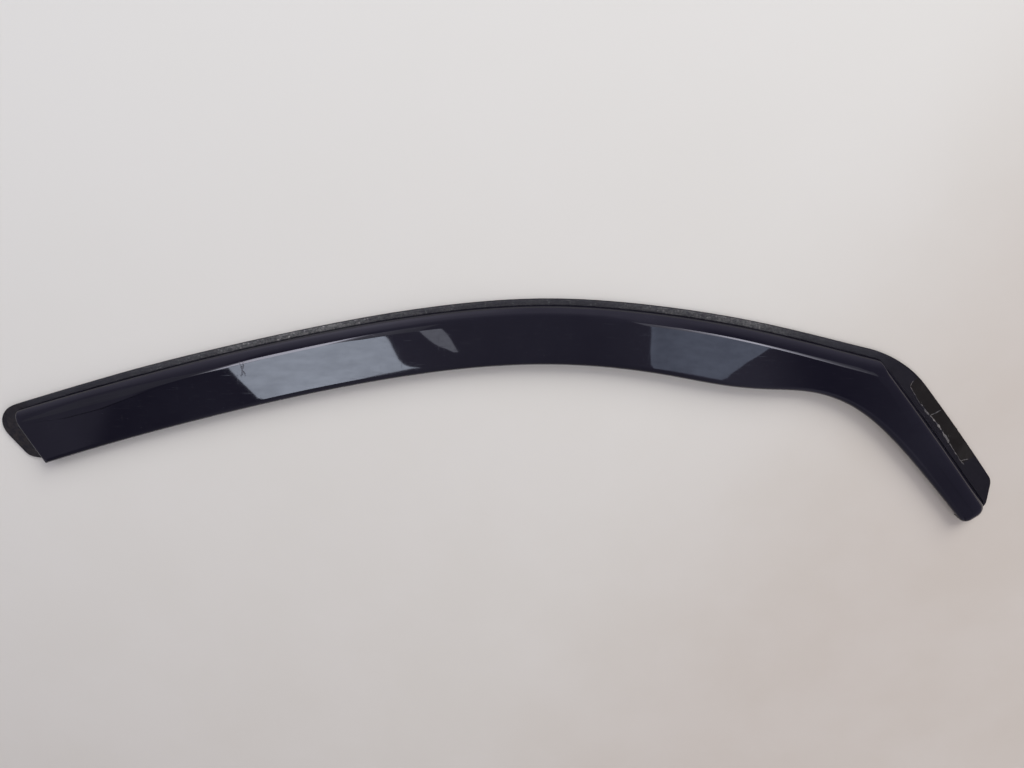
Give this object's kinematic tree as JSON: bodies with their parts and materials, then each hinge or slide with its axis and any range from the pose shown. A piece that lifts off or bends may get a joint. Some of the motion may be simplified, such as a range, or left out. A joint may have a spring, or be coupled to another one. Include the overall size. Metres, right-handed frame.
{
  "type": "window rain deflector",
  "caption": "Long arched visor for the top of a car door window: a crowned gloss sheet with a rolled shoulder, and a narrow flange that tucks into the window channel.",
  "frame": {"origin": "centre of the bounding box in plan, on the surface that the flange's car side lies on", "axes": "+X along the length towards the front of the car, +Y towards the roof, +Z out of the gloss face"},
  "size_m": [0.9294, 0.219, 0.014],
  "materials": {
    "smoked_acrylic": "gloss outer face, matte scuffed flange"
  },
  "bodies": {
    "root": {"deflector": "smoked_acrylic"}
  },
  "joints": []
}
